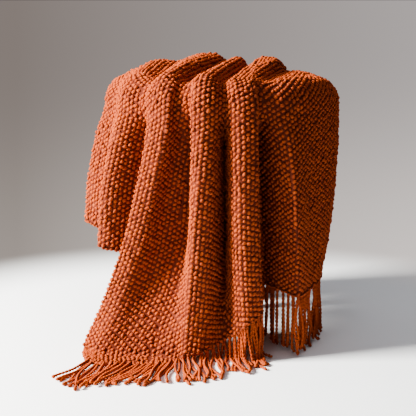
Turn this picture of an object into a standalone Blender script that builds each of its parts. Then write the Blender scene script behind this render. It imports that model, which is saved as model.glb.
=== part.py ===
"""A chunky knitted throw with fringed ends, draped in pleats over a plain round stool."""

import math
from collections import namedtuple

import bmesh
import bpy

# The stool stands on z = 0 with its axis upright through the middle of the seat.
SEAT_RADIUS = 0.170
SEAT_TOP = 0.450
SEAT_THICKNESS = 0.030
SEAT_EDGE_ROUND = 0.0145
SEAT_SIDES = 56
LEG_CIRCLE = 0.100
LEG_ANGLES = (180, -60, 60)
LEG_FOOT_RADIUS = 0.013
LEG_TOP_RADIUS = 0.016
LEG_SIDES = 20

# The knitted sheet.
SHEET_THICKNESS = 0.0052
CONTACT_GAP = 0.0003
FRINGE_GAP = 0.0018
FLOOR_FRINGE_GAP = 0.0045
FRINGE_LENGTH = 0.100
FRINGE_THICKNESS = 0.0036
FRINGE_HEADING = 0.010
TOOTH_SHARE = 0.80
TOOTH_RINGS = (0.5, 1.0)
HEM_CLEAR_OF_FLOOR = 0.024

# On the seat the sheet is gathered: a strip of it this wide each side of its middle is
# squeezed to a share of its flat width along the line y = 0.
GATHER_HALF_WIDTH = 0.140
GATHER_SHARE = 0.443
GATHER_MIDDLE = 0.002

# The pleats as they cross the seat from front to back, in millimetres: the x of each line
# and the sheet's height above the seat there, both at the front and at the back.
TopPleat = namedtuple("TopPleat", "front_x back_x front_height back_height")
TOP_PLEATS = (
    TopPleat(-190, -190, 0, 0),
    TopPleat(-165, -158, 3, 5),
    TopPleat(-140, -114, 5, 20),
    TopPleat(-115, -80, 0, 15),
    TopPleat(-90, -20, 12, 34),
    TopPleat(-57, 10, 0, 13),
    TopPleat(-25, 33, 12, 20),
    TopPleat(6, 57, 0, 1),
    TopPleat(24, 84, 7, 23),
    TopPleat(38, 108, 7, 22),
    TopPleat(71, 131, 1, 2),
    TopPleat(115, 160, 5, 3),
    TopPleat(190, 190, 0, 0),
)
PLEAT_ENDS = 0.150
FULL_PLEAT = 0.034

# The folds that hang round the stool, crest and valley in turn. A station runs from 0 to 4
# round the sheet: front strip 0 to 1, right end 1 to 2, back strip 2 to 3, left end 3 to 4.
# Each level has the fold's direction from the stool's axis, in degrees anticlockwise from
# +X, and its reach from that axis in millimetres; the high level has a reach alone. On the
# floor it runs on in the direction of its floor turn. The hem is the height of the sheet's
# edge above the floor in millimetres, or with a minus sign the length that lies on it.
Fold = namedtuple(
    "Fold",
    "name station rim_turn rim_reach high_reach mid_turn mid_reach low_turn low_reach floor_turn hem",
)
FOLDS = (
    Fold("crest_3", 0.00, -124, 197, 205, -132, 217, -146, 266, -80, -60),
    Fold("flank_3_right", 0.06, -116, 200, 203, -125, 203, -139, 262, -84, -48),
    Fold("valley_34_left", 0.14, -114, 184, 166, -125, 170, -131, 234, -88, -38),
    Fold("valley_34", 0.26, -105, 184, 152, -110, 148, -117, 206, -91, -27),
    Fold("flank_4_left", 0.40, -103, 200, 200, -104, 198, -109, 211, -92, -9),
    Fold("crest_4", 0.50, -98, 204, 209, -101, 214, -105, 222, -92, 10),
    Fold("flank_4", 0.62, -94, 200, 204, -96, 208, -98, 214, -89, 16),
    Fold("valley_45", 0.74, -88, 184, 132, -86, 118, -90, 194, -86, 30),
    Fold("flank_5_left", 0.84, -84, 199, 202, -84, 205, -82, 212, -80, 46),
    Fold("crest_5", 0.95, -80, 204, 209, -80, 215, -78, 221, -75, 66),
    Fold("flank_5", 1.05, -74, 202, 207, -74, 210, -71, 216, -70, 78),
    Fold("valley_56_left", 1.10, -71, 184, 150, -67, 144, -66, 152, -64, 98),
    Fold("valley_56", 1.15, -67, 184, 140, -59, 132, -55, 142, -58, 106),
    Fold("crest_6", 1.25, -59, 200, 214, -57, 226, -54, 222, -54, 104),
    Fold("panel_67", 1.36, -38, 200, 202, -38, 200, -42, 206, -34, 104),
    Fold("crest_7", 1.50, -9, 207, 208, -12, 204, -16, 166, -10, 110),
    Fold("valley_78", 1.62, 10, 184, 150, 12, 128, 12, 130, 10, 160),
    Fold("crest_8", 1.76, 30, 202, 208, 30, 214, 30, 216, 30, 180),
    Fold("valley_89", 1.88, 46, 184, 152, 46, 132, 46, 134, 46, 120),
    Fold("crest_9", 2.00, 60, 204, 210, 59, 216, 58, 224, 59, 60),
    Fold("valley_910", 2.26, 70, 184, 150, 71, 131, 71, 134, 70, 34),
    Fold("crest_10", 2.50, 79, 203, 209, 82, 216, 84, 224, 80, 22),
    Fold("valley_1011", 2.74, 87, 184, 146, 93, 120, 94, 122, 90, 22),
    Fold("crest_11", 3.00, 96, 204, 211, 104, 217, 105, 224, 100, 26),
    Fold("valley_1112", 3.12, 114, 184, 148, 118, 120, 119, 124, 114, 60),
    Fold("crest_12", 3.24, 130, 202, 209, 131, 216, 131, 220, 128, 110),
    Fold("valley_1213", 3.34, 144, 184, 150, 144, 128, 144, 130, 143, 150),
    Fold("crest_13", 3.44, 157, 202, 210, 157, 218, 157, 220, 157, 176),
    Fold("valley_131", 3.52, 169, 186, 168, 170, 158, 170, 158, 169, 190),
    Fold("crest_1", 3.60, 184, 203, 220, 185, 241, 185, 252, 184, 200),
    Fold("valley_12", 3.68, 199, 190, 200, 199, 214, 199, 222, 199, 190),
    Fold("crest_2", 3.76, 213, 198, 214, 211, 236, 210, 246, 212, 176),
    Fold("valley_23", 3.88, 226, 184, 156, 222, 142, 221, 140, 240, 142),
    Fold("flank_3", 3.95, 233, 193, 199, 226, 211, 215, 262, 252, 40),
)
STATIONS = 4
FIRST_LEFT_STATION = 1.55
LOW_LEVEL = 0.040
MID_LEVEL = 0.250
HIGH_LEVEL = 0.360
RIM_LEVEL = 0.415
SHOULDER_START = 0.160

# The mesh: ribs follow the sheet from the seat's middle to the hem.
RIBS_PER_FOLD = 3
TOP_SHARES = (0.0, 0.3, 0.6, 0.85)
EDGE_RINGS = 4
HANG_RINGS = 8
TOP_STEPS = 30
SHOULDER_STEPS = 15
BEND_STEPS = 6
PATH_STEP = 0.004
FLOOR_SPREAD = 0.22
FLOOR_BEND = 0.008
HEM_RING = 0.012
FRONT_FRINGE = (0.00, 1.50)
BACK_FRINGE = (2.00, 3.00)


def clear_scene():
    for old in list(bpy.data.objects):
        bpy.data.objects.remove(old, do_unlink=True)


def make_material(name, colour, roughness):
    material = bpy.data.materials.new(name)
    material.use_nodes = True
    shader = material.node_tree.nodes["Principled BSDF"]
    shader.inputs["Base Color"].default_value = (*colour, 1)
    shader.inputs["Roughness"].default_value = roughness
    shader.inputs["Metallic"].default_value = 0
    return material


def eased_slopes(places, values, open_start):
    """Slopes of a smooth curve that never swings past its own crests and valleys."""
    steps = [b - a for a, b in zip(places, places[1:])]
    grades = [(b - a) / step for a, b, step in zip(values, values[1:], steps)]
    slopes = [0.0]
    if open_start:
        wide = steps[0] + steps[1]
        first = ((steps[0] + wide) * grades[0] - steps[0] * grades[1]) / wide
        slopes[0] = first if first * grades[0] > 0 else 0.0
    for before, after, left, right in zip(grades, grades[1:], steps, steps[1:]):
        if before * after <= 0:
            slopes.append(0.0)
            continue
        near = 2 * right + left
        far = right + 2 * left
        slopes.append((near + far) / (near / before + far / after))
    return slopes + [0.0]


def eased(places, values, place, open_start=False):
    """The value at a place on the smooth curve; with an open start it runs straight on below."""
    slopes = eased_slopes(places, values, open_start)
    if place < places[0]:
        return values[0] + (place - places[0]) * slopes[0]
    index = 0
    while index < len(places) - 2 and place > places[index + 1]:
        index += 1
    step = places[index + 1] - places[index]
    share = min((place - places[index]) / step, 1)
    rise = share * share * (3 - 2 * share)
    lead = step * share * (1 - share) ** 2
    trail = step * share * share * (share - 1)
    start, end = values[index], values[index + 1]
    return start + (end - start) * rise + slopes[index] * lead + slopes[index + 1] * trail


def round_table(column):
    """The stations and one column of the folds, carried past both ends of the round."""
    turns = column.endswith("turn")
    places = []
    values = []
    for lap in (-1, 0, 1):
        for fold in FOLDS:
            value = getattr(fold, column)
            if turns and fold.station > FIRST_LEFT_STATION and value < 0:
                value += 360
            if turns:
                value += 360 * lap
            places.append(fold.station + STATIONS * lap)
            values.append(value)
    return places, values


ROUND = {name: round_table(name) for name in Fold._fields if name not in ("name", "station")}


def fold_at(station):
    """A fold of its own for any station, on the smooth curves through the named ones."""
    values = [eased(*ROUND[name], station % STATIONS) for name in ROUND]
    return Fold("between", station, *values)


def pleat_height(x, y):
    """How far the pleats lift the sheet above the seat at a point of it."""
    back = (y + PLEAT_ENDS) / (2 * PLEAT_ENDS)
    places = [(row.front_x + (row.back_x - row.front_x) * back) / 1000 for row in TOP_PLEATS]
    heights = []
    for row in TOP_PLEATS:
        heights.append((row.front_height + (row.back_height - row.front_height) * back) / 1000)
    share = min(max(eased(places, heights, x) / FULL_PLEAT, 0), 1)
    return FULL_PLEAT * math.sin(math.pi / 2 * share)


def axis_point(station):
    """Where a rib starts, on the gathered middle line of the seat."""
    lap = station % STATIONS
    if lap <= 1:
        share = 2 * lap - 1
    elif lap <= 2:
        share = 1
    elif lap <= 3:
        share = 5 - 2 * lap
    else:
        share = -1
    return GATHER_MIDDLE + share * GATHER_HALF_WIDTH * GATHER_SHARE, 0


def hang_spot(fold, height):
    """The point of a rib at a height, on the hanging part of the sheet."""
    levels = (LOW_LEVEL, MID_LEVEL, RIM_LEVEL)
    turns = (fold.low_turn, fold.mid_turn, fold.rim_turn)
    turn = math.radians(eased(levels, turns, height, open_start=True))
    levels = (LOW_LEVEL, MID_LEVEL, HIGH_LEVEL, RIM_LEVEL)
    reaches = (fold.low_reach, fold.mid_reach, fold.high_reach, fold.rim_reach)
    reach = eased(levels, reaches, height, open_start=True) / 1000
    return reach * math.cos(turn), reach * math.sin(turn), height


def rib_path(station):
    """The middle of the sheet along a rib: points, their run from the axis, and the hem's run."""
    fold = fold_at(station)
    rest = SEAT_TOP + CONTACT_GAP + SHEET_THICKNESS / 2
    floor = SHEET_THICKNESS / 2
    turn = math.radians(fold.rim_turn)
    out_x, out_y = math.cos(turn), math.sin(turn)
    start_x, start_y = axis_point(station)
    edge_x, edge_y = SHOULDER_START * out_x, SHOULDER_START * out_y
    points = []
    for step in range(TOP_STEPS):
        share = step / TOP_STEPS
        x = start_x + (edge_x - start_x) * share
        y = start_y + (edge_y - start_y) * share
        points.append((x, y, rest + pleat_height(x, y)))
    top = rest + pleat_height(edge_x, edge_y)
    edge_start = len(points)
    foot = hang_spot(fold, RIM_LEVEL)
    for step in range(SHOULDER_STEPS + 1):
        swing = math.pi / 2 * step / SHOULDER_STEPS
        x = edge_x + (foot[0] - edge_x) * math.sin(swing)
        y = edge_y + (foot[1] - edge_y) * math.sin(swing)
        points.append((x, y, RIM_LEVEL + (top - RIM_LEVEL) * math.cos(swing)))
    hang_start = len(points) - 1
    height = RIM_LEVEL - PATH_STEP
    while height > floor + FLOOR_BEND:
        points.append(hang_spot(fold, height))
        height -= PATH_STEP
    bend_start = len(points)
    turn = math.radians(fold.floor_turn)
    out_x, out_y = math.cos(turn), math.sin(turn)
    bend_x, bend_y, bend_height = hang_spot(fold, floor + FLOOR_BEND)
    for step in range(BEND_STEPS + 1):
        swing = math.pi / 2 * step / BEND_STEPS
        run = FLOOR_BEND * (1 - math.cos(swing))
        drop = FLOOR_BEND * math.sin(swing)
        points.append((bend_x + run * out_x, bend_y + run * out_y, bend_height - drop))
    floor_start = len(points) - 1
    last_x, last_y, _ = points[-1]
    run = PATH_STEP
    while run < FLOOR_SPREAD:
        points.append((last_x + run * out_x, last_y + run * out_y, floor))
        run += PATH_STEP
    runs = [0]
    for a, b in zip(points, points[1:]):
        runs.append(runs[-1] + math.dist(a, b))
    hem = fold.hem / 1000
    if hem <= 0:
        hem_run = runs[floor_start] - hem
    else:
        below = next(i for i, p in enumerate(points) if i > hang_start and p[2] <= max(hem, floor))
        share = (points[below - 1][2] - hem) / (points[below - 1][2] - points[below][2])
        hem_run = runs[below - 1] + share * (runs[below] - runs[below - 1])
    marks = [runs[edge_start], runs[hang_start], hem_run]
    if hem <= 0:
        marks[2:2] = [runs[bend_start], runs[floor_start]]
    return points, runs, marks


def along(points, runs, run):
    """The point of a path at a run from its start."""
    index = 0
    while index < len(runs) - 2 and run > runs[index + 1]:
        index += 1
    share = (run - runs[index]) / (runs[index + 1] - runs[index])
    return tuple(a + (b - a) * share for a, b in zip(points[index], points[index + 1]))


def rib_stations():
    """Even steps between neighbouring folds; the back strip has the front strip's, mirrored."""
    found = [BACK_FRINGE[0]]
    for fold, following in zip(FOLDS, (*FOLDS[1:], None)):
        if BACK_FRINGE[0] <= fold.station < BACK_FRINGE[1]:
            continue
        end = following.station if following else STATIONS
        for step in range(RIBS_PER_FOLD):
            found.append(fold.station + (end - fold.station) * step / RIBS_PER_FOLD)
    mirrored = [BACK_FRINGE[1] - station for station in found if 0 < station < 1]
    return sorted(found + mirrored)


def ring_runs(marks):
    """The runs at which one rib meets the rings, from the axis to the hem."""
    edge, hang, *bend, hem = marks
    if not bend:
        bend = [hem - 2 * HEM_RING, hem - HEM_RING]
    steps = HANG_RINGS - len(bend)
    runs = [edge * share for share in TOP_SHARES]
    runs += [edge + (hang - edge) * step / EDGE_RINGS for step in range(EDGE_RINGS)]
    runs += [hang + (bend[0] - hang) * step / steps for step in range(steps)]
    return runs + bend + [hem]


def add_object(name, shape, material):
    mesh = bpy.data.meshes.new(name)
    shape.to_mesh(mesh)
    shape.free()
    mesh.materials.append(material)
    made = bpy.data.objects.new(name, mesh)
    bpy.context.scene.collection.objects.link(made)
    return made


def thicken(made, thickness):
    wall = made.modifiers.new("thickness", "SOLIDIFY")
    wall.thickness = thickness
    wall.offset = 0
    made.data.shade_smooth()


def make_throw(ribs, material):
    shape = bmesh.new()
    grid = []
    for points, runs, marks in ribs:
        grid.append([shape.verts.new(along(points, runs, run)) for run in ring_runs(marks)])
    for rib, following in zip(grid, grid[1:] + grid[:1]):
        for ring in range(len(rib) - 1):
            if rib[ring].co == following[ring].co:
                corners = (rib[ring], rib[ring + 1], following[ring + 1])
            else:
                corners = (rib[ring], rib[ring + 1], following[ring + 1], following[ring])
            shape.faces.new(corners)
    bmesh.ops.remove_doubles(shape, verts=shape.verts, dist=1e-5)
    bmesh.ops.triangulate(shape, faces=shape.faces)
    bmesh.ops.recalc_face_normals(shape, faces=shape.faces)
    top = max(shape.faces, key=lambda face: face.calc_center_median().z)
    if top.normal.z < 0:
        bmesh.ops.reverse_faces(shape, faces=shape.faces)
    made = add_object("throw", shape, material)
    thicken(made, SHEET_THICKNESS)
    return made


def fringe_ribs(ribs, stations, span):
    """The ribs from one end of a fringed edge to the other, in order."""
    first, last = span
    length = (last - first) % STATIONS
    inside = [(s - first) % STATIONS for s in stations]
    order = sorted(range(len(stations)), key=lambda i: inside[i])
    return [ribs[i] for i in order if inside[i] <= length + 1e-6]


def fringe_point(rib, drop):
    """A point of the fringe below a rib, which starts a gap past the hem."""
    points, runs, marks = rib
    hem_height = along(points, runs, marks[-1])[2]
    gap = FRINGE_GAP if hem_height > HEM_CLEAR_OF_FLOOR else FLOOR_FRINGE_GAP
    return along(points, runs, marks[-1] + max(drop, gap))


def make_fringe(name, ribs, material):
    """One comb along a hem: a narrow heading with a tooth for each step between ribs."""
    shape = bmesh.new()
    drops = [0, FRINGE_HEADING / 2, FRINGE_HEADING]
    tooth = FRINGE_LENGTH - FRINGE_HEADING
    drops += [FRINGE_HEADING + tooth * share for share in TOOTH_RINGS]
    margin = (1 - TOOTH_SHARE) / 2
    columns = []
    for rib, following in zip(ribs, ribs[1:]):
        for share in (margin, 1 - margin):
            column = []
            for drop in drops:
                near = fringe_point(rib, drop)
                far = fringe_point(following, drop)
                column.append(shape.verts.new([a + (b - a) * share for a, b in zip(near, far)]))
            columns.append(column)
    for index, (left, right) in enumerate(zip(columns, columns[1:])):
        rows = 2 if index % 2 else len(drops) - 1
        for row in range(rows):
            shape.faces.new((left[row], left[row + 1], right[row + 1], right[row]))
    bmesh.ops.triangulate(shape, faces=shape.faces)
    made = add_object(name, shape, material)
    thicken(made, FRINGE_THICKNESS)
    return made


def make_seat(material):
    shape = bmesh.new()
    bmesh.ops.create_cone(
        shape,
        cap_ends=True,
        segments=SEAT_SIDES,
        radius1=SEAT_RADIUS,
        radius2=SEAT_RADIUS,
        depth=SEAT_THICKNESS,
    )
    rims = [edge for edge in shape.edges if abs(edge.verts[0].co.z - edge.verts[1].co.z) < 1e-6]
    bmesh.ops.bevel(
        shape,
        geom=rims,
        offset=SEAT_EDGE_ROUND,
        segments=3,
        profile=0.5,
        affect="EDGES",
        material=-1,
    )
    made = add_object("seat", shape, material)
    made.location.z = SEAT_TOP - SEAT_THICKNESS / 2
    made.data.shade_smooth()
    return made


def make_leg(number, angle, material):
    shape = bmesh.new()
    length = SEAT_TOP - SEAT_THICKNESS - CONTACT_GAP
    bmesh.ops.create_cone(
        shape,
        cap_ends=True,
        segments=LEG_SIDES,
        radius1=LEG_FOOT_RADIUS,
        radius2=LEG_TOP_RADIUS,
        depth=length,
    )
    made = add_object(f"leg_{number}", shape, material)
    turn = math.radians(angle)
    made.location = (LEG_CIRCLE * math.cos(turn), LEG_CIRCLE * math.sin(turn), length / 2)
    return made


def centre_on_origin(pieces):
    """Parents every piece to one empty that brings the middle of their box over the origin."""
    bpy.context.view_layer.update()
    graph = bpy.context.evaluated_depsgraph_get()
    corners = []
    for piece in pieces:
        shown = piece.evaluated_get(graph)
        mesh = shown.to_mesh()
        corners += [piece.matrix_world @ vertex.co for vertex in mesh.vertices]
        shown.to_mesh_clear()
    middle = [(min(c[i] for c in corners) + max(c[i] for c in corners)) / 2 for i in (0, 1)]
    holder = bpy.data.objects.new("draped_stool", None)
    bpy.context.scene.collection.objects.link(holder)
    holder.location = (-middle[0], -middle[1], 0)
    for piece in pieces:
        piece.parent = holder


def main():
    clear_scene()
    yarn = make_material("rust_yarn", (0.55, 0.13, 0.035), 0.9)
    wood = make_material("plain_wood", (0.45, 0.30, 0.18), 0.6)
    stations = rib_stations()
    ribs = [rib_path(station) for station in stations]
    pieces = [make_throw(ribs, yarn)]
    pieces.append(make_fringe("fringe_front", fringe_ribs(ribs, stations, FRONT_FRINGE), yarn))
    pieces.append(make_fringe("fringe_back", fringe_ribs(ribs, stations, BACK_FRINGE), yarn))
    pieces.append(make_seat(wood))
    for number, angle in enumerate(LEG_ANGLES, start=1):
        pieces.append(make_leg(number, angle, wood))
    centre_on_origin(pieces)


main()
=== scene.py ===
import math

import bmesh
import bpy
import numpy as np
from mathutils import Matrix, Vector, kdtree


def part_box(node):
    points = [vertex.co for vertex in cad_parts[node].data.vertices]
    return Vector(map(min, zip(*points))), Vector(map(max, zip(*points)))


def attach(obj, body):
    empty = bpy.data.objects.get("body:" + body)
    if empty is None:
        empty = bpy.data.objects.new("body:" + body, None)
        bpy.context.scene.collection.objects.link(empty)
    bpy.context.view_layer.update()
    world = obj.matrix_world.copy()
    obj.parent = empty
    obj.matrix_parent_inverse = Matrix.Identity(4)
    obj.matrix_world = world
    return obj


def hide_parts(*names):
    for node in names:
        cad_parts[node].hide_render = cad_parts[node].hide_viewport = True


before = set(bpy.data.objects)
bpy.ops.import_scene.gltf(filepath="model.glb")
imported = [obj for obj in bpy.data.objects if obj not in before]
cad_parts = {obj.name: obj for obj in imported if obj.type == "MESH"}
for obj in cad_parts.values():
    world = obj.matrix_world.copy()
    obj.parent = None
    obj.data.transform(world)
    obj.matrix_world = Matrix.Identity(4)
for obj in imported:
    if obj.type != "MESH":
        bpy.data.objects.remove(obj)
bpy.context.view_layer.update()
seatLow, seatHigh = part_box("seat")
stoolX = (seatLow.x + seatHigh.x) / 2
stoolY = (seatLow.y + seatHigh.y) / 2
stoolAxis = np.array((stoolX, stoolY, 0.0))
seed = np.random.default_rng(24)

# how the throw hangs: a station is a place round its edge, on the front hem from 0 to 1.5, the
# right edge to 2, the back hem to 3 and the left edge to 4; a rib is the line from the middle of
# the seat out to the edge at one station, and a run is the distance walked along it
drape = dict(
    thickness=0.0052, contactGap=0.0003, shoulderStart=0.160,
    gatherHalf=0.140, gatherShare=0.443, gatherMiddle=0.002,
    rimLevel=0.415, highLevel=0.360, midLevel=0.250, lowLevel=0.040,
    pathStep=0.004, floorBend=0.008, floorSpread=0.22,
    topSteps=30, shoulderSteps=15, bendSteps=6,
    ribsPerFold=10, runStep=0.003, stations=4, firstLeftStation=1.55,
    pleatEnds=0.150, fullPleat=0.034, tiny=1e-9, lastRun=1.001,
    hemSamples=2400, roundEnd=1e-6, landedWithin=1e-5, tie=1e-7,
)
# x of each pleat line at the front and back of the seat, and its height there, in millimetres
topPleats = np.array((
    # frontX backX frontHeight backHeight
    (-190, -190, 0, 0),
    (-165, -158, 3, 5),
    (-140, -114, 5, 20),
    (-115, -80, 0, 15),
    (-90, -20, 12, 34),
    (-57, 10, 0, 13),
    (-25, 33, 12, 20),
    (6, 57, 0, 1),
    (24, 84, 7, 23),
    (38, 108, 7, 22),
    (71, 131, 1, 2),
    (115, 160, 5, 3),
    (190, 190, 0, 0),
)) / 1000
# each fold: station round the cloth, then turns (degrees) and reaches (mm) at the rim, high,
# middle and low levels, the turn it takes on the floor, and the height of its hem (minus: on
# the floor)
folds = dict(
    crest3=(0.00, -124, 197, 205, -132, 217, -146, 266, -80, -60),
    flank3right=(0.06, -116, 200, 203, -125, 203, -139, 262, -84, -48),
    valley34left=(0.14, -114, 184, 166, -125, 170, -131, 234, -88, -38),
    valley34=(0.26, -105, 184, 152, -110, 148, -117, 206, -91, -27),
    flank4left=(0.40, -103, 200, 200, -104, 198, -109, 211, -92, -9),
    crest4=(0.50, -98, 204, 209, -101, 214, -105, 222, -92, 10),
    flank4=(0.62, -94, 200, 204, -96, 208, -98, 214, -89, 16),
    valley45=(0.74, -88, 184, 132, -86, 118, -90, 194, -86, 30),
    flank5left=(0.84, -84, 199, 202, -84, 205, -82, 212, -80, 46),
    crest5=(0.95, -80, 204, 209, -80, 215, -78, 221, -75, 66),
    flank5=(1.05, -74, 202, 207, -74, 210, -71, 216, -70, 78),
    valley56left=(1.10, -71, 184, 150, -67, 144, -66, 152, -64, 98),
    valley56=(1.15, -67, 184, 140, -59, 132, -55, 142, -58, 106),
    crest6=(1.25, -59, 200, 214, -57, 226, -54, 222, -54, 104),
    panel67=(1.36, -38, 200, 202, -38, 200, -42, 206, -34, 104),
    crest7=(1.50, -9, 207, 208, -12, 204, -16, 166, -10, 110),
    valley78=(1.62, 10, 184, 150, 12, 128, 12, 130, 10, 160),
    crest8=(1.76, 30, 202, 208, 30, 214, 30, 216, 30, 180),
    valley89=(1.88, 46, 184, 152, 46, 132, 46, 134, 46, 120),
    crest9=(2.00, 60, 204, 210, 59, 216, 58, 224, 59, 60),
    valley910=(2.26, 70, 184, 150, 71, 131, 71, 134, 70, 34),
    crest10=(2.50, 79, 203, 209, 82, 216, 84, 224, 80, 22),
    valley1011=(2.74, 87, 184, 146, 93, 120, 94, 122, 90, 22),
    crest11=(3.00, 96, 204, 211, 104, 217, 105, 224, 100, 26),
    valley1112=(3.12, 114, 184, 148, 118, 120, 119, 124, 114, 60),
    crest12=(3.24, 130, 202, 209, 131, 216, 131, 220, 128, 110),
    valley1213=(3.34, 144, 184, 150, 144, 128, 144, 130, 143, 150),
    crest13=(3.44, 157, 202, 210, 157, 218, 157, 220, 157, 176),
    valley131=(3.52, 169, 186, 168, 170, 158, 170, 158, 169, 190),
    crest1=(3.60, 184, 203, 220, 185, 241, 185, 252, 184, 200),
    valley12=(3.68, 199, 190, 200, 199, 214, 199, 222, 199, 190),
    crest2=(3.76, 213, 198, 214, 211, 236, 210, 246, 212, 176),
    valley23=(3.88, 226, 184, 156, 222, 142, 221, 140, 240, 142),
    flank3=(3.95, 233, 193, 199, 226, 211, 215, 262, 252, 40),
)
foldColumns = "rimTurn rimReach highReach midTurn midReach lowTurn lowReach floorTurn hem".split()
# the middle of the cloth on the seat and on the floor, and the point at which each rib hangs
restLevel = seatHigh.z + drape["contactGap"] + drape["thickness"] / 2
floorLevel = drape["thickness"] / 2
hangStart = drape["topSteps"] + drape["shoulderSteps"]


def unit(vectors):
    return vectors / np.maximum(np.linalg.norm(vectors, axis=-1, keepdims=True), drape["tiny"])


def arcLengths(points):
    # the distance walked to each point of a line, or of each row of lines
    steps = np.linalg.norm(np.diff(points, axis=-2), axis=-1)
    return np.concatenate((np.zeros(steps.shape[:-1] + (1,)), np.cumsum(steps, axis=-1)), axis=-1)


def easedRows(places, values, at, openStart=False):
    # one smooth curve in each row, which never swings past its own crests and valleys; it
    # starts level, or with openStart keeps its slope and runs straight on before its start
    steps = np.diff(places, axis=1)
    grades = np.diff(values, axis=1) / steps
    before, after = grades[:, :-1], grades[:, 1:]
    near = 2 * steps[:, 1:] + steps[:, :-1]
    far = steps[:, 1:] + 2 * steps[:, :-1]
    same = before * after > 0
    total = np.where(same, near * after + far * before, 1)
    slopes = np.zeros(places.shape)
    slopes[:, 1:-1] = np.where(same, (near + far) * before * after / total, 0)
    if openStart:
        wide = steps[:, 0] + steps[:, 1]
        first = ((steps[:, 0] + wide) * grades[:, 0] - steps[:, 0] * grades[:, 1]) / wide
        slopes[:, 0] = np.where(first * grades[:, 0] > 0, first, 0)
    rows = np.arange(len(at))
    index = (places[:, 1:-1] <= at[:, None]).sum(axis=1)
    step = steps[rows, index]
    share = np.clip((at - places[rows, index]) / step, 0, 1)
    start, end = values[rows, index], values[rows, index + 1]
    rise = share * share * (3 - 2 * share)
    lead = step * share * (1 - share) ** 2 * slopes[rows, index]
    trail = step * share * share * (share - 1) * slopes[rows, index + 1]
    before = np.minimum(at - places[:, 0], 0) * slopes[:, 0]
    return start + (end - start) * rise + lead + trail + before


def easedRound(places, values, at):
    # one curve read at many places
    shape = (len(at), len(places))
    return easedRows(np.broadcast_to(places, shape), np.broadcast_to(values, shape), at)


def foldValue(column, stations):
    # a column of the folds at any stations, read as one closed round
    number = foldColumns.index(column) + 1
    places, values = [], []
    for lap in (-1, 0, 1):
        for row in folds.values():
            value = row[number]
            if column.endswith("Turn"):
                if row[0] > drape["firstLeftStation"] and value < 0:
                    value += 360
                value += 360 * lap
            places.append(row[0] + drape["stations"] * lap)
            values.append(value)
    return easedRound(places, values, np.asarray(stations, float) % drape["stations"])


def atHeights(columns, levels, stations, heights):
    # a value at any height on each rib, eased through the values at its levels
    values = np.stack([foldValue(name, stations) for name in columns], axis=1)
    places = np.array([drape[name] for name in levels])
    found = np.empty((len(stations), len(heights)))
    for index, height in enumerate(heights):
        at = np.full(len(stations), height)
        found[:, index] = easedRows(np.broadcast_to(places, values.shape), values, at, True)
    return found


def pleatHeight(x, y):
    # how far the pleats lift the cloth off the seat, x and y from the stool's axis
    full = drape["fullPleat"]
    back = (y + drape["pleatEnds"]) / (2 * drape["pleatEnds"])
    frontX, backX, frontHeight, backHeight = topPleats.T
    places = frontX + (backX - frontX) * back[:, None]
    heights = frontHeight + (backHeight - frontHeight) * back[:, None]
    share = np.clip(easedRows(places, heights, x) / full, 0, 1)
    return full * np.sin(math.pi / 2 * share)


def hangSpots(stations, heights):
    # points of the ribs at given heights, on the part that hangs
    turn = atHeights(
        ("lowTurn", "midTurn", "rimTurn"), ("lowLevel", "midLevel", "rimLevel"), stations, heights
    )
    reach = atHeights(
        ("lowReach", "midReach", "highReach", "rimReach"),
        ("lowLevel", "midLevel", "highLevel", "rimLevel"), stations, heights,
    )
    turn = np.radians(turn)
    x, y = reach / 1000 * np.cos(turn), reach / 1000 * np.sin(turn)
    return np.stack((x, y, np.broadcast_to(heights, turn.shape)), axis=2)


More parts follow.
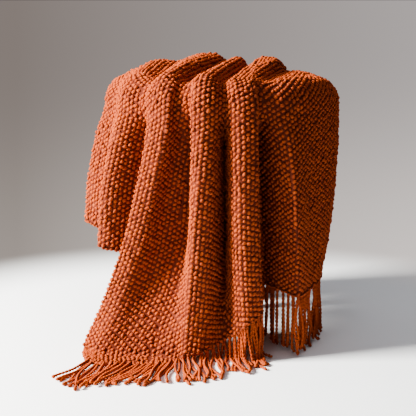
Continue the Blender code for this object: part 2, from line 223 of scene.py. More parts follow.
def ribPaths(stations):
    # the middle of the cloth along each rib, from the seat's middle out over the floor
    turn = np.radians(foldValue("rimTurn", stations))
    outX, outY = np.cos(turn), np.sin(turn)
    # the ribs start on a short line across the seat, walked to the right from station 0 to 1
    # and back to the left from 2 to 3
    lap = stations % drape["stations"]
    share = np.select((lap <= 1, lap <= 2, lap <= 3), (2 * lap - 1, 1, 5 - 2 * lap), -1)
    startX = drape["gatherMiddle"] + share * drape["gatherHalf"] * drape["gatherShare"]
    edgeX, edgeY = drape["shoulderStart"] * outX, drape["shoulderStart"] * outY
    steps = np.linspace(0, 1, drape["topSteps"], endpoint=False)
    x = startX[:, None] + (edgeX - startX)[:, None] * steps
    y = edgeY[:, None] * steps
    lift = pleatHeight(x.ravel(), y.ravel()).reshape(x.shape)
    top = np.stack((x, y, restLevel + lift), axis=2)
    rim = drape["rimLevel"]
    foot = hangSpots(stations, np.array((rim,)))[:, 0]
    swing = np.linspace(0, math.pi / 2, drape["shoulderSteps"] + 1)
    edgeZ = restLevel + pleatHeight(edgeX, edgeY)
    x = edgeX[:, None] + (foot[:, 0] - edgeX)[:, None] * np.sin(swing)
    y = edgeY[:, None] + (foot[:, 1] - edgeY)[:, None] * np.sin(swing)
    shoulder = np.stack((x, y, rim + (edgeZ - rim)[:, None] * np.cos(swing)), axis=2)
    bend, step = drape["floorBend"], drape["pathStep"]
    hang = hangSpots(stations, np.arange(rim - step, floorLevel + bend, -step))
    turn = np.radians(foldValue("floorTurn", stations))
    out = np.stack((np.cos(turn), np.sin(turn), np.zeros(len(turn))), axis=1)[:, None]
    bendTop = hangSpots(stations, np.array((floorLevel + bend,)))
    swing = np.linspace(0, math.pi / 2, drape["bendSteps"] + 1)[None, :, None]
    down = np.array((0, 0, -bend))
    bends = bendTop + bend * (1 - np.cos(swing)) * out + np.sin(swing) * down
    spread = np.arange(step, drape["floorSpread"], step)[None, :, None]
    lying = bends[:, -1:] + spread * out
    points = np.concatenate((top, shoulder, hang, bends, lying), axis=1)
    runs = arcLengths(points)
    floorStart = points.shape[1] - lying.shape[1] - 1
    hems = foldValue("hem", stations) / 1000
    hemRuns = []
    for hem, path, run in zip(hems, points, runs):
        if hem <= 0:
            hemRuns.append(run[floorStart] - hem)
        else:
            falling = slice(hangStart, floorStart + 1)
            hemRuns.append(np.interp(-max(hem, floorLevel), -path[falling, 2], run[falling]))
    return points, runs, np.array(hemRuns)


def evenRibs():
    # stations in even steps between neighbouring folds, all the way round and closed
    starts = [row[0] for row in folds.values()] + [drape["stations"]]
    found = []
    for start, end in zip(starts, starts[1:]):
        found.extend(np.linspace(start, end, drape["ribsPerFold"], endpoint=False))
    return np.array(found + [drape["stations"]])


ribs = evenRibs()
ribPoints, ribRuns, hemRuns = ribPaths(ribs)
runGrid = np.arange(0, ribRuns[:, -1].min(), drape["runStep"])
cloth = np.empty((len(ribs), len(runGrid), 3))
for rib in range(len(ribs)):
    for axis in range(3):
        cloth[rib, :, axis] = np.interp(runGrid, ribRuns[rib], ribPoints[rib, :, axis])
print("drape laid out:", cloth.shape, "hem runs", hemRuns.min().round(3), hemRuns.max().round(3))


def clothAt(stations, runs):
    # the middle of the cloth and its two directions at any stations and runs
    place = np.interp(np.asarray(stations, float) % drape["stations"], ribs, np.arange(len(ribs)))
    rib = np.clip(place.astype(int), 0, len(ribs) - 2)
    across = (place - rib)[:, None]
    place = np.clip(np.asarray(runs, float) / drape["runStep"], 0, len(runGrid) - drape["lastRun"])
    step = place.astype(int)
    along = (place - step)[:, None]
    a, b = cloth[rib, step], cloth[rib, step + 1]
    c, d = cloth[rib + 1, step], cloth[rib + 1, step + 1]
    point = (a * (1 - along) + b * along) * (1 - across) + (c * (1 - along) + d * along) * across
    down = unit((b - a) * (1 - across) + (d - c) * across)
    side = (c - a) * (1 - along) + (d - b) * along
    return point, down, unit(np.cross(down, side))


def hemAt(stations):
    return np.interp(np.asarray(stations, float) % drape["stations"], ribs, hemRuns)


def evenHem(first, last, pitch):
    # stations at even distances along the hem
    stations = np.linspace(first, last, drape["hemSamples"])
    arcs = arcLengths(clothAt(stations, hemAt(stations))[0])
    count = int(arcs[-1] / pitch)
    return np.interp((np.arange(count) + 0.5) * arcs[-1] / count, arcs, stations)


def addMesh(name, mesh, material):
    mesh.materials.append(material)
    made = bpy.data.objects.new(name, mesh)
    bpy.context.scene.collection.objects.link(made)
    return made


def arrayMesh(name, points, faces, layers):
    # one mesh from copies of a small shape: points are copies x corners x 3, faces index one copy
    copies, corners = points.shape[:2]
    loops = np.concatenate([np.array(face) for face in faces])
    sizes = np.array([len(face) for face in faces])
    shift = np.arange(copies)[:, None] * corners
    mesh = bpy.data.meshes.new(name)
    mesh.vertices.add(copies * corners)
    mesh.vertices.foreach_set("co", points.ravel())
    mesh.loops.add(copies * len(loops))
    mesh.loops.foreach_set("vertex_index", (loops[None] + shift).ravel())
    mesh.polygons.add(copies * len(faces))
    starts = np.concatenate(((0,), np.cumsum(sizes)[:-1]))
    starts = starts[None] + np.arange(copies)[:, None] * len(loops)
    mesh.polygons.foreach_set("loop_start", starts.ravel())
    mesh.update(calc_edges=True)
    mesh.shade_smooth()
    for layer, values in layers.items():
        made = mesh.attributes.new(layer, "FLOAT", "POINT")
        made.data.foreach_set("value", np.broadcast_to(values, (copies, corners)).ravel())
    return mesh


class Wire:
    # a node's output, on which sums are written as they are on numbers
    def __init__(self, tree, output):
        self.tree = tree
        self.output = output

    def node(self, kind, settings=None, inputs=None, out=0):
        made = self.tree.nodes.new(kind)
        for name, value in (settings or {}).items():
            setattr(made, name, value)
        for name, value in (inputs or {}).items():
            if isinstance(value, Wire):
                self.tree.links.new(value.output, made.inputs[name])
            else:
                made.inputs[name].default_value = value
        return Wire(self.tree, made.outputs[out])

    def sum(self, operation, first, second=0.0):
        return self.node("ShaderNodeMath", dict(operation=operation), {0: first, 1: second})

    def __add__(self, other):
        return self.sum("ADD", self, other)

    def __radd__(self, other):
        return self.sum("ADD", other, self)

    def __sub__(self, other):
        return self.sum("SUBTRACT", self, other)

    def __rsub__(self, other):
        return self.sum("SUBTRACT", other, self)

    def __mul__(self, other):
        return self.sum("MULTIPLY", self, other)

    def __rmul__(self, other):
        return self.sum("MULTIPLY", other, self)

    def mix(self, low, high):
        # a colour between two, with this wire as the share
        settings = dict(data_type="RGBA", clamp_factor=True)
        return self.node("ShaderNodeMix", settings, {"Factor": self, 6: low, 7: high}, 2)

    def noise(self, scale, detail=2.0):
        return self.node("ShaderNodeTexNoise", {}, {"Vector": self, "Scale": scale, "Detail": detail})


def newMaterial(name, **constants):
    # a material with these constants on its shader; gives it, the shader and object coordinates
    material = bpy.data.materials.new(name)
    material.use_nodes = True
    tree = material.node_tree
    shader = tree.nodes["Principled BSDF"]
    for socket, value in constants.items():
        shader.inputs[socket.replace("_", " ")].default_value = value
    coords = Wire(tree, tree.nodes.new("ShaderNodeTexCoord").outputs["Object"])
    return material, shader, coords


def connect(shader, socket, wire):
    wire.tree.links.new(wire.output, shader.inputs[socket])


def connectBump(shader, height, strength, distance):
    inputs = {"Strength": strength, "Distance": distance, "Height": height}
    connect(shader, "Normal", height.node("ShaderNodeBump", {}, inputs))


# yarn: each stitch has a shade of its own, a tone drawn at random, and runs from a painted shade
# colour at its foot, which stands in for the shade down between the stitches, to that
yarnLook = dict(
    # the first colour is painted shade, for the feet of the stitches, the ground and the fringe at
    # the hem
    paintedShade=(0.105, 0.026, 0.016, 1), dark=(0.235, 0.046, 0.024, 1), light=(0.435, 0.097, 0.027, 1),
    roughness=0.88, specular=0.05, mottleScale=38.0, fibreScale=1500.0, fibreDetail=3.0, plyTurns=3.2,
    shadeShare=0.55, mottleShare=0.45, fibreShare=0.25, plyShadingShare=0.28,
    fibreBump=0.45, strandBump=0.55, bumpDistance=0.0006, bumpStrength=0.55,
)
# the wrong side: how much painted shade lies in the hollows between its bumps, and how much lighter
# their tops are
insideLook = dict(
    low=0.12, swing=0.60, mottleShare=0.7, fibreShare=0.3, fibreBump=0.15,
    bumpDistance=0.0022, bumpStrength=1.0,
)


def yarnMaterial(name):
    look = yarnLook
    material, shader, coords = newMaterial(
        name, Roughness=look["roughness"], Specular_IOR_Level=look["specular"]
    )
    shade, unshaded, ply = [
        coords.node("ShaderNodeAttribute", dict(attribute_name=layer), {}, "Fac")
        for layer in ("shade", "unshaded", "ply")
    ]
    mottle = coords.noise(look["mottleScale"])
    fibre = coords.noise(look["fibreScale"], look["fibreDetail"])
    # the ply stripes are drawn lighter on the crests of their bump and darker in its grooves: partly
    # the plies' own look, partly painted highlight and painted shade
    strand = coords.sum("SINE", ply * (2 * math.pi * look["plyTurns"])) * 0.5 + 0.5
    tone = shade * look["shadeShare"] + mottle * look["mottleShare"]
    tone = tone + (fibre - 0.5) * look["fibreShare"] + (strand - 0.5) * look["plyShadingShare"]
    # painted shade: the per-point share mixes the painted shade colour into the feet of the stitches,
    # the ground and the fringe near the hem
    connect(shader, "Base Color", unshaded.mix(look["paintedShade"], tone.mix(look["dark"], look["light"])))
    height = fibre * look["fibreBump"] + strand * look["strandBump"]
    connectBump(shader, height, look["bumpStrength"], look["bumpDistance"])
    return material


def insideMaterial(name):
    # the wrong side of the knit: the same bumps in staggered chains, shallower, and in painted shade:
    # the hollows between the bumps take the painted shade colour and even their tops stay darker than
    # the yarn's full tone
    look = insideLook
    material, shader, coords = newMaterial(
        name, Roughness=yarnLook["roughness"], Specular_IOR_Level=yarnLook["specular"]
    )
    count = coords.node("ShaderNodeUVMap", dict(uv_map="knit"))
    across = coords.node("ShaderNodeSeparateXYZ", None, {0: count}, "X")
    along = coords.node("ShaderNodeSeparateXYZ", None, {0: count}, "Y")
    bumps = coords.sum("COSINE", across * math.pi) * coords.sum("COSINE", along * (2 * math.pi))
    raised = bumps * 0.5 + 0.5
    mottle = coords.noise(yarnLook["mottleScale"])
    fibre = coords.noise(yarnLook["fibreScale"], yarnLook["fibreDetail"])
    # painted shade: the hollows stay close to the painted shade colour and the bump tops gain part of
    # the yarn's tone
    share = raised * look["swing"] + look["low"]
    tone = mottle * look["mottleShare"] + fibre * look["fibreShare"]
    colour = share.mix(yarnLook["paintedShade"], tone.mix(yarnLook["dark"], yarnLook["light"]))
    connect(shader, "Base Color", colour)
    height = raised + fibre * look["fibreBump"]
    connectBump(shader, height, look["bumpStrength"], look["bumpDistance"])
    return material


yarn = yarnMaterial("rustYarn")
insideYarn = insideMaterial("rustYarnInside")

# plain wood, its grain drawn out along the axis that has the smallest number in its stretch
woodLook = dict(
    dark=(0.20, 0.11, 0.055, 1), light=(0.36, 0.22, 0.12, 1), roughness=0.48,
    grainScale=34.0, grainDetail=5.0, poreScale=272.0, poreDetail=2.0,
    grainShare=0.8, poreShare=0.3, toneShift=0.05, bumpDistance=0.0003, bumpStrength=0.25,
    seatStretch=(1.0, 9.0, 1.0), legStretch=(7.0, 7.0, 0.7),
)


def woodMaterial(name, stretch):
    look = woodLook
    material, shader, coords = newMaterial(name, Roughness=look["roughness"])
    grainAt = coords.node(
        "ShaderNodeVectorMath", dict(operation="MULTIPLY"), {0: coords, 1: stretch}
    )
    grain = grainAt.noise(look["grainScale"], look["grainDetail"])
    pores = grainAt.noise(look["poreScale"], look["poreDetail"])
    tone = grain * look["grainShare"] + pores * look["poreShare"] - look["toneShift"]
    connect(shader, "Base Color", tone.mix(look["dark"], look["light"]))
    connectBump(shader, pores, look["bumpStrength"], look["bumpDistance"])
    return material


seatWood = woodMaterial("seatWood", woodLook["seatStretch"])
legWood = woodMaterial("legWood", woodLook["legStretch"])
for node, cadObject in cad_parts.items():
    if node == "seat" or node.startswith("leg"):
        for slot in cadObject.material_slots:
            slot.material = seatWood if node == "seat" else legWood

# moss stitches: rounded bumps in upright chains, each chain half a bump off the next
moss = dict(
    across=0.0076, along=0.0086, width=0.0081, length=0.0081, height=0.0041, lift=-0.0004,
    lean=0.20, leanSpread=0.10, turn=0.20, uneven=0.10, drift=0.0005, rough=0.00028,
    sides=8, rings=6, cut=0.001, sectors=6, onFloor=0.0003,
    topLimit=0.150, seamGap=0.003, closest=0.66, laneMargin=0.25, firstRun=0.001,
    edgeMargin=0.004, edgeInset=0.0012, edgeTurn=0.45, fillRows=8, fillClosest=0.82,
    topHalf=0.175, topSamples=351, topRows=20, topReach=0.166, slopeStep=0.002,
    # last row: a random tone for each stitch, the painted shade at the stitches' feet, and the slant
    # of the ply stripes
    shadeMiddle=0.5, shadeSpread=0.19, unshadedFoot=0.05, unshadedRise=1.1, plyAlong=0.5, plyAcross=0.4,
)

# the knitted ground of the throw, under the stitches, almost all in the painted shade colour, which
# stands in for the shade between the stitches; chains are counted at one run down the cloth
ground = dict(
    name="throwGround", thickness=0.003, sunk=0.0006, rings=90, shade=0.3, unshaded=0.05,
    countedAt=0.35, merge=1e-5,
)


def makeGround(material):
    shape = bmesh.new()
    columns, rings = len(ribs), ground["rings"] + 1
    bmesh.ops.create_grid(shape, x_segments=columns - 1, y_segments=rings - 1, size=0.5)
    stations = np.tile(ribs, rings)
    shares = np.repeat(np.linspace(0, 1, rings), columns)
    point, _, normal = clothAt(stations, shares * np.tile(hemRuns, rings))
    point = point + stoolAxis - normal * ground["sunk"]
    for vertex, place in zip(shape.verts, point):
        vertex.co = place
    # the map counts chains round the cloth and stitches down it
    arcs = arcLengths(clothAt(ribs, np.full(columns, ground["countedAt"]))[0])
    chains = 2 * round(arcs[-1] / moss["across"] / 2)
    across = np.tile(arcs / arcs[-1] * chains, rings)
    along = shares * np.tile(hemRuns, rings) / moss["along"]
    layer = shape.loops.layers.uv.new("knit")
    shape.verts.index_update()
    for face in shape.faces:
        for corner in face.loops:
            index = corner.vert.index
            corner[layer].uv = across[index], along[index]
    bmesh.ops.remove_doubles(shape, verts=shape.verts, dist=ground["merge"])
    bmesh.ops.reverse_faces(shape, faces=shape.faces)
    mesh = bpy.data.meshes.new(ground["name"])
    shape.to_mesh(mesh)
    shape.free()
    mesh.shade_smooth()
    # painted shade: the ground is set close to the painted shade colour all over
    for name in ("shade", "unshaded"):
        layer = mesh.attributes.new(name, "FLOAT", "POINT")
        layer.data.foreach_set("value", np.full(len(mesh.vertices), ground[name]))
    made = addMesh(ground["name"], mesh, material)
    made.data.materials.append(insideYarn)
    wall = made.modifiers.new("thickness", "SOLIDIFY")
    wall.material_offset = 1
    wall.thickness = ground["thickness"]
    wall.offset = 0
    return made


throwGround = makeGround(yarn)
print("ground", len(throwGround.data.polygons))

lattices = (
    # crest, left and right edge of each stretch of chains, and whether it runs on over the seat
    (0.00, -0.12, 0.21, True),
    (0.50, 0.21, 0.74, True),
    (0.95, 0.74, 1.12, True),
    (1.36, 1.12, 1.62, False),
    (3.76, 3.68, 3.88, False),
    (3.60, 3.52, 3.68, False),
    (1.76, 1.62, 1.88, False),
    (2.00, 1.88, 2.25, True),
    (2.50, 2.25, 2.75, True),
    (3.00, 2.75, 3.12, True),
    (3.24, 3.12, 3.34, False),
    (3.44, 3.34, 3.52, False),
)
hangRuns = ribRuns[:, hangStart]
# how low the rows of stitches reach on each side: they follow the fringed hems
rowHems = (
    # station and height in millimetres
    (0.0, 0.0), (0.5, 10.0), (0.95, 66.0), (1.25, 104.0), (1.5, 110.0), (2.0, 60.0), (2.5, 22.0),
    (3.0, 26.0),
)


def rowHemHeights():
    places = [place + drape["stations"] * lap for lap in (-1, 0, 1) for place, _ in rowHems]
    values = [height / 1000 for _ in (-1, 0, 1) for _, height in rowHems]
    return np.maximum(easedRound(places, values, ribs), floorLevel)


def descents():
    # how far down each rib every run lies: below 0 over the seat, then the drop, then the floor
    drop = drape["rimLevel"] - floorLevel
    over = hangRuns.mean()
    found = np.empty((len(ribs), len(runGrid)))
    for rib in range(len(ribs)):
        heights = cloth[rib, :, 2]
        low = heights < floorLevel + drape["landedWithin"]
        landed = runGrid[np.argmax((runGrid > hangRuns[rib]) & low)]
        hanging = drape["rimLevel"] - heights
        found[rib] = np.where(runGrid < hangRuns[rib], (runGrid / hangRuns[rib] - 1) * over, hanging)
        found[rib] = np.where(runGrid > landed, drop + runGrid - landed, found[rib])
    return np.maximum.accumulate(found + np.arange(len(runGrid)) * drape["tie"], axis=1)


descent = descents()
rowDrops = drape["rimLevel"] - rowHemHeights()


def latticeSpots(centre, left, right, overSeat):
    # station and run of each stitch of one fold, in chains at even distances from its crest
    lap = drape["stations"]
    wide = np.concatenate((ribs[:-1] - lap, ribs[:-1], ribs[:-1] + lap))
    margin = moss["laneMargin"] * (right - left)
    picked = np.flatnonzero((wide > left - margin) & (wide < right + margin))
    stations, rib = wide[picked], picked % (len(ribs) - 1)
    middle = np.argmin(np.abs(stations - centre))
    crest = rib[middle]
    rowEnd = max(np.interp(rowDrops[crest], descent[crest], runGrid), hemRuns[crest])
    crestRuns = np.arange(rowEnd, moss["firstRun"], -moss["along"] / 2)
    drops = np.interp(crestRuns, runGrid, descent[crest])
    scales = rowDrops[rib] / rowDrops[crest]
    runs = np.empty((len(rib), len(drops)))
    for index, place in enumerate(rib):
        wanted = np.where(drops > 0, drops * scales[index], drops)
        runs[index] = np.interp(wanted, descent[place], runGrid)
    found = []
    for half in range(len(drops)):
        arcs = arcLengths(clothAt(stations, runs[:, half])[0])
        arcs -= arcs[middle]
        ends = np.interp((left, right), stations, arcs) + np.array((-0.5, 0.5)) * moss["across"]
        first, last = ends / moss["across"]
        chains = np.arange(math.ceil(first), math.floor(last) + 1)
        at = chains[(chains + half) % 2 == 0] * moss["across"]
        station = np.interp(at, arcs, stations)
        run = np.interp(at, arcs, runs[:, half])
        spot, _, _ = clothAt(station, run)
        reach = np.hypot(spot[:, 0], spot[:, 1])
        keep = (run < hemAt(station) - moss["edgeMargin"]) & (run > moss["firstRun"])
        if overSeat:
            keep &= (np.abs(spot[:, 1]) > moss["seamGap"]) | (reach > moss["topLimit"])
        else:
            keep &= (drops[half] > 0) | (reach > moss["topLimit"])
        found.extend(zip(station[keep], run[keep]))
    return np.array(found)


def sparse(point, kept, closest):
    # which points keep their distance from those already placed
    if not kept:
        return np.ones(len(point), bool)
    tree = kdtree.KDTree(len(kept))
    for index, place in enumerate(kept):
        tree.insert(place, index)
    tree.balance()
    return np.array([tree.find(place)[2] > closest for place in point])


def edgeAt():
    # a row of stitches all round the hem, turned outwards to round it
    stations = evenHem(0, drape["stations"] - drape["roundEnd"], moss["across"])
    point, down, normal = clothAt(stations, hemAt(stations) - moss["edgeInset"])
    return point, np.cross(normal, down), unit(down + moss["edgeTurn"] * normal)


def hemFill():
    # rows along the hem, from which only the stitches that find room are kept
    rows = []
    for row in range(1, moss["fillRows"] + 1):
        stations = evenHem(0, drape["stations"] - drape["roundEnd"], moss["across"])
        if row % 2:
            stations = (stations[1:] + stations[:-1]) / 2
        rows.append(np.stack((stations, hemAt(stations) - row * moss["along"] / 2), axis=1))
    spots = np.concatenate(rows)
    return clothAt(spots[:, 0], spots[:, 1])


def topSpots():
    # the rest of the seat: chains along the pleats, laid out on the line over its middle
    line = np.linspace(-moss["topHalf"], moss["topHalf"], moss["topSamples"])
    heights = pleatHeight(line, np.zeros(len(line)))
    arcs = np.concatenate(((0,), np.cumsum(np.hypot(np.diff(line), np.diff(heights)))))
    frontX, backX = topPleats[:, 0], topPleats[:, 1]
    spots = []
    for chain in range(int(arcs[-1] / moss["across"])):
        across = np.interp(chain * moss["across"], arcs, line)
        place = np.interp(across, (frontX + backX) / 2, np.arange(len(frontX)))
        front = np.interp(place, np.arange(len(frontX)), frontX)
        back = np.interp(place, np.arange(len(frontX)), backX)
        for row in range(-moss["topRows"], moss["topRows"]):
            y = (row + 0.5 * (chain % 2)) * moss["along"]
            x = front + (back - front) * (y + drape["pleatEnds"]) / (2 * drape["pleatEnds"])
            if math.hypot(x, y) < moss["topReach"]:
                spots.append((x, y))
    return np.array(spots)


def topAt(spots):
    # points on the pleats over the seat, and two directions of the cloth there
    step = moss["slopeStep"]
    x, y = spots.T
    point = np.stack((x, y, restLevel + pleatHeight(x, y)), axis=1)
    slopeX = (pleatHeight(x + step, y) - pleatHeight(x - step, y)) / (2 * step)
    slopeY = (pleatHeight(x, y + step) - pleatHeight(x, y - step)) / (2 * step)
    normal = unit(np.stack((-slopeX, -slopeY, np.ones(len(x))), axis=1))
    down = unit(np.stack((np.zeros(len(x)), -np.ones(len(x)), -slopeY), axis=1))
    return point, down, normal


def stitchShape():
    # half a rounded grain, leaning a little, with its foot closed
    shape = bmesh.new()
    bmesh.ops.create_uvsphere(shape, u_segments=moss["sides"], v_segments=moss["rings"], radius=1)
    everything = shape.verts[:] + shape.edges[:] + shape.faces[:]
    cut = bmesh.ops.bisect_plane(
        shape, geom=everything, plane_co=(0, 0, moss["cut"]), plane_no=(0, 0, 1), clear_inner=True
    )
    rim = [item for item in cut["geom_cut"] if isinstance(item, bmesh.types.BMEdge)]
    bmesh.ops.holes_fill(shape, edges=rim, sides=0)
    bmesh.ops.recalc_face_normals(shape, faces=shape.faces)
    corners = np.array([vertex.co[:] for vertex in shape.verts])
    shape.verts.index_update()
    # sorted, because the cut leaves the faces in an order that changes from run to run
    faces = sorted([vertex.index for vertex in face.verts] for face in shape.faces)
    shape.free()
    return corners, faces


def placeStitches(name, point, down, normal, material):
    # one mesh of stitches that lie along down and stand up along normal, no two the same
    corners, faces = stitchShape()
    count = len(point)
    side = unit(np.cross(normal, down))
    turn = seed.normal(0, moss["turn"], count)
    down = down * np.cos(turn)[:, None] + side * np.sin(turn)[:, None]
    side = np.cross(normal, down)
    down = np.cross(side, normal)
    size = seed.normal(1, moss["uneven"], (count, 3))
    lean = seed.normal(moss["lean"], moss["leanSpread"], count)
    x = corners[None, :, 0] * size[:, :1] * moss["width"] / 2
    y = corners[None, :, 1] * size[:, 1:2] * moss["length"] / 2
    z = corners[None, :, 2] * size[:, 2:] * moss["height"]
    x = x - lean[:, None] * y
    base = point + stoolAxis + normal * moss["lift"] + seed.normal(0, moss["drift"], (count, 3))
    points = base[:, None] + x[..., None] * side[:, None] + y[..., None] * down[:, None]
    points = points + z[..., None] * normal[:, None]
    points += seed.normal(0, moss["rough"], points.shape)
    points[..., 2] = np.maximum(points[..., 2], moss["onFloor"])
    # painted shade: each grain runs from the painted shade colour at its foot to its full tone at its
    # top
    foot, top = corners[:, 2].min(), corners[:, 2].max()
    rise = moss["unshadedRise"] * (corners[:, 2] - foot) / (top - foot)
    layers = dict(
        shade=seed.normal(moss["shadeMiddle"], moss["shadeSpread"], (count, 1)).clip(0, 1),
        unshaded=(moss["unshadedFoot"] + rise).clip(0, 1)[None],
        ply=(moss["plyAlong"] * corners[:, 1] - moss["plyAcross"] * corners[:, 0])[None],
    )
    return addMesh(name, arrayMesh(name, points, faces, layers), material)


def allStitches():
    # the place, length direction and upright of every stitch
    kept, downs, normals = [], [], []

    def keep(label, found, picked):
        for whole, part in zip((kept, downs, normals), found):
            whole.extend(part[picked])
        print(label, "kept", len(found[0][picked]), "of", len(found[0]))

    room = moss["closest"] * moss["across"]
    for centre, left, right, overSeat in lattices:
        spots = latticeSpots(centre, left, right, overSeat)
        found = clothAt(spots[:, 0], spots[:, 1])
        keep(f"lattice at {centre}", found, sparse(found[0], kept, room))
    found = topAt(topSpots())
    keep("seat", found, sparse(found[0], kept, room))
    keep("edge", edgeAt(), slice(None))
    found = hemFill()
    room = moss["fillClosest"] * moss["across"]
    added = []
    for index in np.flatnonzero(sparse(found[0], kept, room)):
        if all(np.linalg.norm(found[0][index] - found[0][other]) > room for other in added):
            added.append(index)
    keep("hem", found, added)
    return np.array(kept), np.array(downs), np.array(normals)


points, downs, normals = allStitches()
sector = np.degrees(np.arctan2(points[:, 1], points[:, 0])) % 360 // (360 / moss["sectors"])
stitches = []
for number in range(moss["sectors"]):
    mine = sector == number
    name = f"stitches{number + 1}"
    stitches.append(placeStitches(name, points[mine], downs[mine], normals[mine], yarn))
    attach(stitches[-1], "root")
    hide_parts("throw")
print("stitches", len(points))
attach(throwGround, "root")
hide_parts("throw")

# fringe: groups of two or three plied strands that hang from the hem and fan out on the floor
fringe = dict(
    length=0.104, lengthSpread=0.006, radius=0.0021, lobes=0.26, twistPitch=0.014, sides=8,
    steps=48, inside=0.006, together=0.0012, splay=0.14, groups=(2, 3, 3),
    stiffness=0.78, floorReach=0.014, floorLift=1.1, layers=0.0036, onFloor=0.0003,
    sway=0.20, swaySide=0.5, swirl=0.45, fewestWaves=0.6, mostWaves=1.5,
    sweepSpread=9, sweepLimit=11, sideStart=(0.31, 0.17, 0.93),
    tipSwell=0.30, tipLength=0.005, tipPlace=0.6, tipClose=0.55,
    # painted shade near the hem: the strands start darker there and reach their full tone a few rings
    # down
    shadeMiddle=0.5, shadeSpread=0.16, unshadedAtHem=0.55, hemShadeRings=8, plyTone=0.3,
)
floorSweeps = (
    # station and the direction in which strands lie on the floor there
    (0.00, -108), (0.14, -112), (0.26, -118), (0.36, -104), (0.44, -84), (0.50, -74), (0.62, -80),
    (0.74, -90), (0.84, -84), (0.95, -78), (1.10, -72), (1.50, -30), (2.00, 60), (2.50, 82),
    (3.00, 102),
)


def strandPaths(stations):
    # the middle line of every strand, walked down from the hem and out over the floor
    groups = np.repeat(stations, seed.choice(fringe["groups"], len(stations)))
    count = len(groups)
    place = seed.uniform(-1, 1, count)
    point, down, normal = clothAt(groups, hemAt(groups) - fringe["inside"])
    side = np.cross(normal, down)
    step = (fringe["length"] + seed.normal(0, fringe["lengthSpread"], count)) / fringe["steps"]
    at = point + side * (place * fringe["together"])[:, None]
    heading = unit(down + side * (place * fringe["splay"])[:, None])
    places, sweeps = zip(*floorSweeps)
    limit = fringe["sweepLimit"]
    spread = seed.normal(0, fringe["sweepSpread"], count).clip(-limit, limit)
    sweep = np.radians(np.interp(groups % drape["stations"], places, sweeps) + spread)
    floorAt = fringe["radius"] * fringe["floorLift"] + seed.random(count) ** 2 * fringe["layers"]
    swayTurn, swirlTurn = seed.uniform(0, 2 * math.pi, (2, count))
    waves = seed.uniform(fringe["fewestWaves"], fringe["mostWaves"], count)
    paths = [at]
    for number in range(fringe["steps"]):
        share = number / fringe["steps"]
        height = np.clip((at[:, 2] - floorAt) / fringe["floorReach"], 0, 1)
        bend = fringe["swirl"] * np.sin(2 * math.pi * waves * share + swirlTurn) * share
        turn = sweep + bend
        flat = np.stack((np.cos(turn), np.sin(turn), np.zeros(count)), axis=1)
        sway = fringe["sway"] * np.sin(2 * math.pi * waves * share + swayTurn)
        fall = side * sway[:, None] + normal * (fringe["swaySide"] * sway[:, None])
        fall = fall - np.array((0, 0, 1.0))
        wanted = flat * (1 - height)[:, None] + fall * height[:, None]
        heading = unit(heading * fringe["stiffness"] + unit(wanted) * (1 - fringe["stiffness"]))
        at = at + heading * step[:, None]
        at[:, 2] = np.maximum(at[:, 2], floorAt)
        paths.append(at)
    return np.stack(paths, axis=1)


def makeFringe(name, stretches, node, material):
    # twisted strands, each a tube of two lobes that swells and closes at its tip
    paths = strandPaths(np.concatenate([evenHem(*stretch) for stretch in stretches])) + stoolAxis
    count, rings = paths.shape[:2]
    sides = fringe["sides"]
    ahead = unit(np.gradient(paths, axis=1))
    across = unit(np.cross(ahead[:, 0], fringe["sideStart"]))
    corner = np.arange(sides) * 2 * math.pi / sides
    run = arcLengths(paths)
    start = seed.uniform(0, math.pi, count)
    left = run[:, -1:] - run
    tip = np.exp(-((left / fringe["tipLength"] - fringe["tipPlace"]) ** 2))
    swell = 1 + fringe["tipSwell"] * tip
    swell[:, -1] *= fringe["tipClose"]
    points = np.empty((count, rings, sides, 3))
    for ring in range(rings):
        across = unit(across - (across * ahead[:, ring]).sum(axis=1, keepdims=True) * ahead[:, ring])
        other = np.cross(ahead[:, ring], across)
        twist = start + 2 * math.pi * run[:, ring] / fringe["twistPitch"]
        radius = fringe["radius"] * (1 - fringe["lobes"] + 2 * fringe["lobes"] * np.cos(corner) ** 2)
        radius = radius[None] * swell[:, ring, None]
        turn = corner[None] + twist[:, None]
        spoke = np.cos(turn)[..., None] * across[:, None] + np.sin(turn)[..., None] * other[:, None]
        points[:, ring] = paths[:, ring, None] + radius[..., None] * spoke
    points[..., 2] = np.maximum(points[..., 2], fringe["onFloor"])
    faces = [list(range(sides))[::-1], list(range((rings - 1) * sides, rings * sides))]
    for ring in range(rings - 1):
        for side in range(sides):
            a, b = ring * sides + side, ring * sides + (side + 1) % sides
            faces.append([a, b, b + sides, a + sides])
    # painted shade: the strands start part way to the painted shade colour at the hem, standing in
    # for the shade under its edge
    rise = (1 - fringe["unshadedAtHem"]) * np.arange(rings) / fringe["hemShadeRings"]
    layers = dict(
        shade=seed.normal(fringe["shadeMiddle"], fringe["shadeSpread"], (count, 1)).clip(0, 1),
        unshaded=np.repeat(np.minimum(1, fringe["unshadedAtHem"] + rise), sides)[None],
        ply=np.tile(fringe["plyTone"] * np.cos(corner) ** 2, rings)[None],
    )
    made = addMesh(name, arrayMesh(name, points.reshape(count, -1, 3), faces, layers), material)
    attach(made, "root")
    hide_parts(node)
    print(name, count, "strands")
    return made


# each stretch of fringe: first and last station, and the distance between groups
fringes = [
    makeFringe("fringeFront", ((0.0, 1.08, 0.0112), (1.08, 1.5, 0.0138)), "fringe_front", yarn),
    makeFringe("fringeBack", ((2.0, 3.0, 0.0138),), "fringe_back", yarn),
]

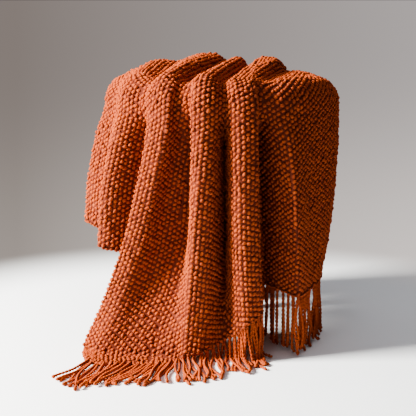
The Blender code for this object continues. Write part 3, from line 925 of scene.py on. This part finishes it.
# a pale floor that fades into a soft room, painted: far off it is darker at the left than at the
# right, as painted shade, and glows with painted light; and the camera, which looks from the front
studio = dict(
    cameraBack=1.8, cameraHeight=0.59, pitch=11.7, lens=86.97, shift=-0.03125, clipEnd=5000.0,
    aim=(0.0, 0.0, 0.22), world=(0.075, 0.07, 0.07, 1), floorSize=2000.0,
    floorNear=(0.92, 0.95, 1.0, 1), nothing=(0, 0, 0, 1),
    # the far floor: painted shade, darker at the left, and a painted glow, brighter at the right
    shadedFarLeft=(0.015, 0.014, 0.013, 1), shadedFarRight=(0.16, 0.15, 0.15, 1),
    paintedLightLeft=(0.222, 0.191, 0.176, 1), paintedLightRight=(0.40, 0.37, 0.362, 1), halfSpread=0.2,
    floorRoughness=0.75, look="AgX - Medium High Contrast",
    fadeCentre=(0.0, -0.2, 0.0), fadeStart=0.55, fadeEnd=0.86,
)
lamps = dict(
    # place, size, power and colour of each soft light
    key=((-2.27, -0.60, 1.45), 0.7, 385.0, (1, 0.965, 0.88)),
    overhead=((0.3, 0.3, 2.6), 2.0, 24.0, (1, 1, 1)),
    front=((-1.0, -2.5, 1.2), 1.2, 12.0, (1, 1, 1)),
)


def makeStudio():
    bpy.context.scene.view_settings.look = studio["look"]
    data = bpy.data.cameras.new("camera")
    camera = bpy.data.objects.new("camera", data)
    bpy.context.scene.collection.objects.link(camera)
    camera.location = (stoolX, stoolY - studio["cameraBack"], studio["cameraHeight"])
    camera.rotation_euler = (math.radians(90 - studio["pitch"]), 0, 0)
    data.lens = studio["lens"]
    data.shift_x = studio["shift"]
    data.clip_end = studio["clipEnd"]
    bpy.context.scene.camera = camera
    world = bpy.data.worlds.new("world")
    bpy.context.scene.world = world
    world.use_nodes = True
    world.node_tree.nodes["Background"].inputs["Color"].default_value = studio["world"]
    for name, (place, size, power, colour) in lamps.items():
        data = bpy.data.lights.new(name, "AREA")
        lamp = bpy.data.objects.new(name, data)
        bpy.context.scene.collection.objects.link(lamp)
        data.size = size
        data.energy = power
        data.color = colour
        lamp.location = place
        aim = Vector(studio["aim"]) - lamp.location
        lamp.rotation_euler = aim.to_track_quat("-Z", "Y").to_euler()
    material, shader, coords = newMaterial(
        "paleFloor", Roughness=studio["floorRoughness"], Emission_Strength=1.0
    )
    offset = coords.node(
        "ShaderNodeVectorMath", dict(operation="DISTANCE"),
        {0: coords, 1: studio["fadeCentre"]}, "Value",
    )
    fade = offset.node(
        "ShaderNodeMapRange", dict(interpolation_type="SMOOTHSTEP"),
        {"Value": offset, "From Min": studio["fadeStart"], "From Max": studio["fadeEnd"]},
    )
    x = coords.node("ShaderNodeSeparateXYZ", None, {0: coords}, "X")
    y = coords.node("ShaderNodeSeparateXYZ", None, {0: coords}, "Y")
    spread = coords.sum("DIVIDE", x, coords.sum("MAXIMUM", y + studio["cameraBack"], 1))
    across = (spread + studio["halfSpread"]) * (0.5 / studio["halfSpread"])
    # painted shade: the far floor is darker, and darker still at the left
    far = across.mix(studio["shadedFarLeft"], studio["shadedFarRight"])
    # painted light: the far floor glows, dimmer at the left than at the right
    paintedLight = across.mix(studio["paintedLightLeft"], studio["paintedLightRight"])
    connect(shader, "Base Color", fade.mix(studio["floorNear"], far))
    connect(shader, "Emission Color", fade.mix(studio["nothing"], paintedLight))
    shape = bmesh.new()
    bmesh.ops.create_grid(shape, x_segments=1, y_segments=1, size=studio["floorSize"])
    mesh = bpy.data.meshes.new("floor")
    shape.to_mesh(mesh)
    shape.free()
    addMesh("floor", mesh, material)


makeStudio()
print("studio set")
